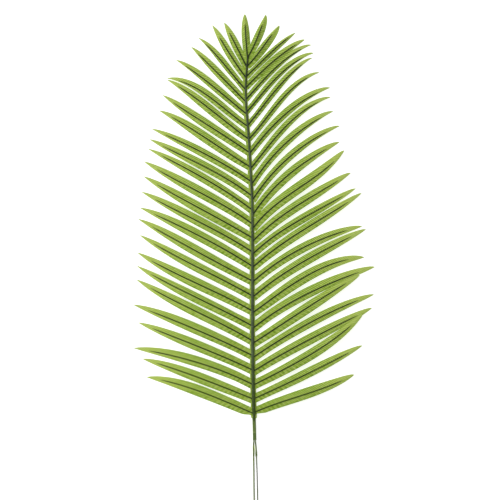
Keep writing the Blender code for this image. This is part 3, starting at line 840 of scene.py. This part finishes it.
def lay_wire(master, name, side, tail, coat_end):
    """A wire from the top of the sleeve down to its cut end."""
    piece = copy_of(master, name)
    x, share, z = points_of(piece).T
    bottom = tail[-1][0] * MM
    rise = np.where(share < WIRE_HIDDEN, blend(WIRE_TOP, COAT_START, share / WIRE_HIDDEN),
                    blend(COAT_START, bottom, (share - WIRE_HIDDEN) / (1 - WIRE_HIDDEN)))
    free = rise < COAT_START
    tail_x = FOOT_X + in_metres(tail, np.where(free, rise, COAT_START))
    middle = np.where(free, tail_x, sleeve_x(rise) + side * WIRE_SPREAD)
    drop = np.clip((COAT_START - rise) / WIRE_DROP, 0, 1)
    height = blend(SLEEVE_HEIGHT / 2, WIRE_REST, drop)
    coated = ease((COAT_START - rise) / MM) * ease((rise - coat_end) / TEAR_LENGTH)
    bulge = BULGE * np.exp(-((rise - coat_end - BULGE_REACH) / BULGE_REACH) ** 2) * (side == RIGHT)
    worn = WORN_RADIUS if side == LEFT else WIRE_RADIUS
    radius = blend(np.where(free, worn, WIRE_RADIUS), COAT_RADIUS + bulge, coated)
    up = np.maximum(height + z * radius, WIRE_LOWEST)
    move_points(piece, middle + x * radius, FOOT_Y + rise, up)
    write_map(piece, "length", rise / MM, coat_end / MM)
    return piece


FLAP_TOP = -43.5 * MM
FLAP_BOTTOM = -63 * MM
FLAP_PATH = ((-43, 0.1), (-50, 0.9), (-55, 1.5), (-63, 2.1))
FLAP_HALF = 0.7 * MM
FLAP_THICK = 0.16 * MM
FLAP_CURL = 0.24 * MM
FLAP_LIFT = 0.45 * COAT_RADIUS
FLAP_WAVE = 0.15
FLAP_WAVES = 5
FLAP_MARK = -400.0


def lay_flap(master):
    """The loose tongue of coating that peels off the left wire."""
    piece = copy_of(master, "flap")
    x, share, z = points_of(piece).T
    rise = blend(FLAP_TOP, FLAP_BOTTOM, share)
    middle = FOOT_X + in_metres(FLAP_PATH, rise)
    ragged = 1 - FLAP_WAVE + FLAP_WAVE * np.sin(FLAP_WAVES * share)
    half = FLAP_HALF * np.clip(1.02 - share, 0, 1) ** 0.35 * ragged
    height = blend(SLEEVE_HEIGHT / 2, WIRE_REST, share) + FLAP_LIFT
    up = height + z * FLAP_THICK + FLAP_CURL * x**2
    move_points(piece, middle + x * half, FOOT_Y + rise, up)
    write_map(piece, "length", rise / MM, FLAP_MARK)
    return piece


wire_master = make_bar("wire_master", sides=16, cuts=260)
wire_left = lay_wire(wire_master, "wire_left_fine", LEFT, WIRE_LEFT_TAIL, COAT_END_LEFT)
wire_right = lay_wire(wire_master, "wire_right_fine", RIGHT, WIRE_RIGHT_TAIL, COAT_END_RIGHT)
flap_master = make_bar("flap_master", sides=12, cuts=14)
wire_left = join_all("wire_left_fine", [wire_left, lay_flap(flap_master)])
remove(wire_master, flap_master)
for piece in (wire_left, wire_right):
    select_only(piece)
    enter("EDIT")
    bpy.ops.mesh.select_all(action="SELECT")
    bpy.ops.mesh.normals_make_consistent(inside=False)
    enter("OBJECT")
    shade(piece, 50)
print("wires:", len(wire_left.data.polygons), "and", len(wire_right.data.polygons), "faces")

# %% [markdown]
# Colours are written as a designer would read them, as sRGB hex values, and one
# function turns them to the linear values that a shader mixes. A recipe holds one
# material, and has the few steps that every material here is made with.

# %% Colours and recipes
def colour(code):
    """A linear RGBA colour from an sRGB hex value."""
    parts = [int(code[i:i + 2], 16) / 255 for i in (1, 3, 5)]
    linear = [c / 12.92 if c <= 0.04045 else ((c + 0.055) / 1.055) ** 2.4 for c in parts]
    return (*linear, 1.0)


class Recipe:
    """A material in the making. Most steps add one node and give back its output."""

    def __init__(self, name, roughness, **sockets):
        self.material = bpy.data.materials.new(name)
        self.material.use_nodes = True
        self.tree = self.material.node_tree
        self.shader = self.tree.nodes["Principled BSDF"]
        self.fill(self.shader, Roughness=roughness, **sockets)

    def fill(self, node, **inputs):
        """Set or link a node's inputs, by name or by number."""
        for name, value in inputs.items():
            socket = node.inputs[int(name[1:]) if name[1:].isdigit() else name.replace("_", " ")]
            if isinstance(value, bpy.types.NodeSocket):
                self.tree.links.new(value, socket)
            else:
                socket.default_value = value

    def add(self, kind, settings=None, **inputs):
        """Add a node, set its properties, and fill its inputs."""
        node = self.tree.nodes.new("ShaderNode" + kind)
        for name, value in (settings or {}).items():
            setattr(node, name, value)
        self.fill(node, **inputs)
        return node

    def maths(self, operation, first, second=0.0, third=0.0):
        return self.add("Math", {"operation": operation}, _0=first, _1=second, _2=third).outputs[0]

    def times(self, first, second):
        return self.maths("MULTIPLY", first, second)

    def carry(self, value, low, high, to_low=0.0, to_high=1.0):
        """Carry a value from one range over to another, with soft ends."""
        return self.add("MapRange", {"interpolation_type": "SMOOTHSTEP"}, _0=value, _1=low, _2=high,
                        _3=to_low, _4=to_high).outputs[0]

    def bell(self, value, middle, reach):
        """One at the middle, nought at a reach to each side of it."""
        away = self.maths("ABSOLUTE", self.maths("SUBTRACT", value, middle))
        return self.carry(away, reach, 0.0)

    def ramp(self, factor, *stops):
        """A colour ramp with stops of (place, colour)."""
        node = self.add("ValToRGB", None, Fac=factor)
        while len(node.color_ramp.elements) < len(stops):
            node.color_ramp.elements.new(0.5)
        for element, (place, code) in zip(node.color_ramp.elements, stops):
            element.position = place
            element.color = colour(code)
        return node.outputs["Color"]

    def mix(self, factor, first, second):
        """Mix into one colour another, which may be a hex value."""
        second = colour(second) if isinstance(second, str) else second
        return self.add("Mix", {"data_type": "RGBA"}, _0=factor, _6=first, _7=second).outputs[2]

    def split(self, vector):
        node = self.add("SeparateXYZ", None, Vector=vector)
        return node.outputs["X"], node.outputs["Y"]

    def read_map(self, name):
        """The two numbers that write_map kept."""
        return self.split(self.add("UVMap", {"uv_map": name}).outputs[0])

    def point(self, x, y, z=0.0):
        return self.add("CombineXYZ", None, X=x, Y=y, Z=z).outputs[0]

    def clouds(self, place, scale, detail, roughness=0.5):
        """A cloudy pattern, from nought to one."""
        return self.add("TexNoise", None, Vector=place, Scale=scale, Detail=detail,
                        Roughness=roughness).outputs["Fac"]

    def finish(self, base, relief, depth, strength):
        """The colour and the relief go into the shader."""
        bump = self.add("Bump", None, Strength=strength, Distance=depth * MM, Height=relief)
        self.fill(self.shader, Base_Color=base, Normal=bump.outputs[0])
        return self.material


# %% [markdown]
# The leaf is polyester taffeta, heat-transfer printed and pressed between ribbed
# plates. Three things make its look: a print that runs from yellow green at the root
# to a pale tip, with darker patches and a darker band in it; fine slanting pleats
# that catch the light line by line, drawn as relief and as painted shade in the
# grooves and painted highlight on the crests; and a soft cloth surface with a faint
# sheen. Painted shade also lies over each leaflet, most on the right row, and along
# its edges. The real pleats are about 1.4 mm apart, too fine for a picture of the
# whole frond, so they are drawn twice as coarse, at 2.9 mm.

# %% Printed and pressed cloth
PLEAT_PITCH = 2.9
SPOT_PITCH = 6.6
CLOTH_RUN = ((0.0, "#93AB33"), (0.30, "#9BB23F"), (0.60, "#A3BA47"), (0.80, "#A9BD50"), (1.0, "#A9BA5C"))
# Painted shade: the darker green laid over each leaflet by its share of painted shade
PAINTED_SHADE_GREEN = "#6F9014"
FADED_DYE = "#A3B288"
DARK_PATCH = "#7A9C1A"
PALE_PATCH = "#AEC26E"
DARK_BAND = "#759A12"
DARK_THREAD = "#739610"
PALE_THREAD = "#B2C766"
# Painted shade in the pleats' grooves, and painted highlight on their crests
GROOVE_SHADE = "#6A8C0C"
CREST_HIGHLIGHT = "#BACC6C"
DEEP_SPOT = "#68890C"
HIGH_SPOT = "#B2C56A"
EDGE_SPOT = "#64860A"
# Painted shade along both edges of a blade
EDGE_RIM_SHADE = "#6F9214"


def make_printed_cloth():
    cloth = Recipe("printed_pleated_polyester", 0.62, Sheen_Weight=0.05, Sheen_Roughness=0.5,
                   Specular_IOR_Level=0.22)
    times, carry, mix = cloth.times, cloth.carry, cloth.mix
    along, off = cloth.read_map("print")
    over, slide = cloth.read_map("pleats")
    share, mark = cloth.read_map("place")
    ratio, shade_and_fade = cloth.read_map("edge")
    shifted = times(mark, 900.0)

    def print_clouds(over_scale, slide_scale, detail):
        """Clouds measured across and along the pleats, different on each leaflet."""
        return cloth.clouds(cloth.point(times(over, over_scale), times(slide, slide_scale), shifted),
                            1.0, detail, 0.55)

    patches = print_clouds(0.085, 0.16, 3.0)
    streaks = print_clouds(0.55, 0.14, 2.0)
    long_streaks = print_clouds(0.30, 0.05, 2.0)
    grain = cloth.clouds(cloth.point(times(along, 0.022), times(off, 0.60), shifted), 1.0, 2.0)

    # The dye's run from root to tip, each leaflet's painted shade, and the foot's fading
    shifted_share = cloth.maths("MULTIPLY_ADD", patches, 0.16, cloth.maths("SUBTRACT", share, 0.08))
    base = cloth.ramp(shifted_share, *CLOTH_RUN)
    shade_towards_root = carry(share, 0.30, 0.75, 1.0, 0.05)
    upper_side = carry(ratio, -0.08, 0.08)
    shade_weight = cloth.maths("MULTIPLY_ADD", upper_side, cloth.maths("SUBTRACT", shade_towards_root, 0.85), 0.85)
    # Painted shade: darker green over the lower half, and near the root of the upper half
    base = mix(times(carry(shade_and_fade, 0.0, 1.0), shade_weight), base, PAINTED_SHADE_GREEN)
    base = mix(carry(shade_and_fade, 0.0, -1.0, 0.0, 0.6), base, FADED_DYE)

    # Dark cloudy patches, pale ones, and the darker band in the upper half
    inner = carry(share, 0.92, 0.50)
    base = mix(times(carry(patches, 0.48, 0.62, 0.0, 0.60), inner), base, DARK_PATCH)
    base = mix(carry(long_streaks, 0.52, 0.64, 0.0, 0.55), base, PALE_PATCH)
    band = times(cloth.bell(share, 0.46, 0.27), carry(ratio, 0.0, 0.60))
    base = mix(times(band, carry(streaks, 0.36, 0.56, 0.15, 0.85)), base, DARK_BAND)

    # Threads of the weave drawn out along the leaflet: darker and paler lines
    base = mix(times(carry(grain, 0.50, 0.64, 0.0, 0.55), inner), base, DARK_THREAD)
    base = mix(carry(grain, 0.46, 0.34, 0.0, 0.35), base, PALE_THREAD)

    # Pleats: painted shade in each groove and a painted highlight on each crest. They
    # stand out most in the upper half, and fade towards the root and the tip
    wobble = times(cloth.maths("SUBTRACT", streaks, 0.5), 3.5)
    ridge = cloth.maths("SINE", cloth.maths("MULTIPLY_ADD", over, 2 * math.pi / PLEAT_PITCH, wobble))
    strength = times(carry(share, 1.0, 0.60, 0.25, 1.0), carry(share, 0.05, 0.40, 0.40, 1.0))
    strength = times(strength, carry(ratio, -0.1, 0.1, 0.95, 1.3))

    def above(wave, strength):
        return times(cloth.maths("MAXIMUM", wave, 0.0), strength)

    # Painted shade in the grooves, painted highlight on the crests
    base = mix(times(above(times(ridge, -1.0), strength), 0.80), base, GROOVE_SHADE)
    base = mix(times(above(ridge, strength), 0.70), base, CREST_HIGHLIGHT)

    # Towards the root, and most in the lower half, there is a coarser swell as well
    slow = cloth.maths("SINE", cloth.maths("MULTIPLY_ADD", over, 2 * math.pi / SPOT_PITCH,
                                           times(wobble, 1.5)))
    rooted = times(carry(share, 0.62, 0.12, 0.0, 0.75), carry(ratio, -0.1, 0.1, 1.0, 0.5))
    uneven = carry(patches, 0.40, 0.58, 0.25, 1.25)
    base = mix(times(above(slow, rooted), uneven), base, DEEP_SPOT)
    base = mix(times(above(times(slow, -1.0), rooted), 0.45), base, HIGH_SPOT)

    # Edges: painted shade darkens both edges, with dark spots of the print along the lower one
    spots = times(cloth.maths("MULTIPLY_ADD", slow, 0.45, 0.30), carry(ratio, -0.30, -0.90))
    base = mix(times(times(spots, uneven), inner), base, EDGE_SPOT)
    # Painted shade: a darker rim towards each edge
    rim_shade = carry(cloth.maths("ABSOLUTE", ratio), 0.72, 0.98, 0.0, 0.45)
    base = mix(times(rim_shade, inner), base, EDGE_RIM_SHADE)

    # Relief: the pleats and a slight weave
    weave = cloth.clouds(cloth.point(along, off), 1.6, 1.0)
    relief = cloth.maths("MULTIPLY_ADD", weave, 0.25, times(ridge, 0.5))
    return cloth.finish(base, relief, 0.25, 0.7)


# %% [markdown]
# The skeleton is moulded polyethylene, dyed a dark slate green. It is fresher green
# towards the foot and darker at the tip. It is satin, slightly waxy, and rubbed to
# small pale grey specks, most of them along the top of the spine.

# %% Moulded skeleton plastic
FRESH_REACH = 0.15
TIP_FROM = 0.525
TIP_FULL = 0.575


def make_skeleton_plastic():
    plastic = Recipe("moulded_dark_polyethylene", 0.5, IOR=1.5, Specular_IOR_Level=0.22)
    times, carry, mix, clouds = plastic.times, plastic.carry, plastic.mix, plastic.clouds
    place = plastic.add("TexCoord").outputs["Object"]
    share, kind = plastic.read_map("bar")
    spine = plastic.ramp(clouds(place, 70.0, 3.0), (0.35, "#35422A"), (0.5, "#404E31"),
                         (0.68, "#4C5C39"))
    rib = plastic.ramp(share, (0.0, "#1B2614"), (0.5, "#1B270B"), (1.0, "#2A3812"))
    base = mix(kind, spine, rib)
    height = plastic.split(place)[1]
    fresh = carry(height, FOOT_Y + FRESH_REACH, FOOT_Y)
    base = mix(fresh, base, "#33460C")
    tip = carry(height, FOOT_Y + TIP_FROM, FOOT_Y + TIP_FULL, 0.0, 0.9)
    base = mix(tip, base, "#1E2C08")
    specks = clouds(place, 520.0, 2.0)
    rubbed = times(carry(specks, 0.62, 0.70, 0.0, 0.5), carry(kind, 1.0, 0.0, 0.3, 1.0))
    return plastic.finish(mix(rubbed, base, "#7B8866"), specks, 0.05, 0.3)


# %% [markdown]
# The sleeve is extruded polyethylene, olive green, with fine lines drawn along it
# by the die and a painted grey highlight along the valley between the two lobes. A pale ring
# is rubbed round it above its mouth, and one small dark scar marks its left lobe.

# %% Extruded sleeve plastic
RING_RISE = -22.7
SCAR_RISE = -7.3
SCAR_OFF = 1.6


def make_sleeve_plastic():
    plastic = Recipe("extruded_olive_polyethylene", 0.5, IOR=1.5, Specular_IOR_Level=0.3)
    times, carry, mix, bell = plastic.times, plastic.carry, plastic.mix, plastic.bell
    rise, off = plastic.read_map("length")
    lines = plastic.clouds(plastic.point(times(rise, 0.12), times(off, 2.5)), 1.0, 3.0)
    base = plastic.ramp(lines, (0.3, "#4A611A"), (0.5, "#566C24"), (0.7, "#62782E"))
    # Painted highlight: paler grey along the valley between the two lobes
    valley = carry(plastic.maths("ABSOLUTE", off), 0.9, 0.1, 0.0, 0.7)
    base = mix(valley, base, "#6B784C")
    pressed = carry(rise, RING_RISE + 0.3, RING_RISE - 1.0, 0.0, 0.35)
    base = mix(pressed, base, "#3F5820")
    ring = times(bell(rise, RING_RISE, 1.3), 0.5)
    base = mix(ring, base, "#93A36B")
    scar = times(bell(rise, SCAR_RISE, 1.8), bell(off, -SCAR_OFF, 1.2))
    base = mix(times(scar, 0.6), base, "#35461C")
    return plastic.finish(base, lines, 0.08, 0.3)


# %% [markdown]
# The wire is drawn low-carbon steel. Its coating is a thin green film, brighter
# above the tear and worn below it, to an olive on the left wire and to a grey olive
# on the right one. There the film is gone for a stretch, and the bare steel shows,
# dull grey and not bright, because it has oxidised.

# %% Coated wire
BARE_FROM = -77.0
BARE_TO = -116.0
FLAP_PALE_ABOVE = -49.0
FLAP_GREEN_BELOW = -56.0
WORN_GREY = ((0.35, "#39471A"), (0.65, "#4C5B2A"))
WORN_OLIVE = ((0.35, "#495B08"), (0.65, "#5A6E12"))


def make_wire_coating(bare):
    name = "worn_coated_steel" if bare else "coated_steel"
    wire = Recipe(name, 0.5, Specular_IOR_Level=0.3 if bare else 0.12)
    rise, torn = wire.read_map("length")
    mottled = wire.clouds(wire.add("TexCoord").outputs["Object"], 260.0, 3.0)
    film = wire.ramp(mottled, (0.35, "#405212"), (0.65, "#586C20"))
    worn = wire.ramp(mottled, *(WORN_GREY if bare else WORN_OLIVE))
    base = wire.mix(wire.maths("GREATER_THAN", torn, rise), film, worn)
    flap = wire.ramp(wire.carry(rise, FLAP_PALE_ABOVE, FLAP_GREEN_BELOW), (0.0, "#C9D98A"),
                     (1.0, "#7F9838"))
    base = wire.mix(wire.maths("LESS_THAN", torn, FLAP_MARK / 2), base, flap)
    if bare:
        down = wire.maths("ADD", rise, wire.maths("MULTIPLY_ADD", mottled, 6.0, -3.0))
        steel = wire.times(wire.maths("LESS_THAN", down, BARE_FROM),
                           wire.maths("GREATER_THAN", down, BARE_TO))
        base = wire.mix(steel, base, "#585C4C")
        wire.fill(wire.shader, Metallic=wire.times(steel, 0.3))
    return wire.finish(base, mottled, 0.05, 0.3)


# %% [markdown]
# Dressing: each fine piece gets its finish, rides on the one body and stands for its
# node, whose imported piece is hidden.

# %% Dress the pieces
def dress(piece, material, node):
    piece.data.materials.clear()
    piece.data.materials.append(material)
    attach(piece, "root")
    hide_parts(node)


dress(leaf, make_printed_cloth(), "leaf_cloth")
dress(skeleton, make_skeleton_plastic(), "rib_skeleton")
dress(sleeve, make_sleeve_plastic(), "stem_sleeve")
dress(wire_left, make_wire_coating(False), "wire_left")
dress(wire_right, make_wire_coating(True), "wire_right")

# %% [markdown]
# The photograph was taken straight down in even light, on white. The floor is a
# plain near-white plane, a bright even sky fills the shadows, and one broad soft
# lamp from the left lights the slopes that face it.

# %% Floor, light and camera
FLOOR_SIZE = 24
FLOOR_GLOW = 0.62
SKY_STRENGTH = 0.62
LAMP_PLACE = (-3.0, 0.6, 2.4)
LAMP_SIZE = 1.6
LAMP_POWER = 95
PHOTO_SPAN = 0.825
PHOTO_CENTRE = (-7.6 * MM, 13.6 * MM)
CAMERA_HEIGHT = 6.0
SENSOR = 36.0


def make_floor():
    select_only()
    bpy.ops.mesh.primitive_plane_add(size=FLOOR_SIZE, location=(0, 0, 0))
    floor = bpy.context.object
    floor.name = "floor"
    paper = Recipe("plain_white_paper", 0.9, Specular_IOR_Level=0.1, Base_Color=(0.75, 0.75, 0.75, 1),
                   Emission_Color=(1, 1, 1, 1), Emission_Strength=FLOOR_GLOW)
    floor.data.materials.append(paper.material)


def make_sky():
    world = bpy.data.worlds.new("even_sky")
    world.use_nodes = True
    background = world.node_tree.nodes["Background"]
    background.inputs["Color"].default_value = (1, 1, 1, 1)
    background.inputs["Strength"].default_value = SKY_STRENGTH
    bpy.context.scene.world = world


def make_lamp():
    """One broad lamp, aimed at the middle of the frond."""
    select_only()
    bpy.ops.object.light_add(type="AREA", location=LAMP_PLACE)
    lamp = bpy.context.object
    lamp.data.shape = "DISK"
    lamp.data.size = LAMP_SIZE
    lamp.data.energy = LAMP_POWER
    x, y, z = -np.array(LAMP_PLACE) / np.linalg.norm(LAMP_PLACE)
    lamp.rotation_euler = (math.atan2(math.hypot(x, y), -z), 0, math.atan2(-x, y))


def make_camera():
    bpy.ops.object.camera_add(location=(*PHOTO_CENTRE, CAMERA_HEIGHT), rotation=(0, 0, 0))
    camera = bpy.context.object
    camera.data.sensor_width = SENSOR
    camera.data.lens = SENSOR * CAMERA_HEIGHT / PHOTO_SPAN
    camera.data.clip_end = 100
    bpy.context.scene.camera = camera


make_floor()
make_sky()
make_lamp()
make_camera()
bpy.context.scene.view_settings.view_transform = "Standard"
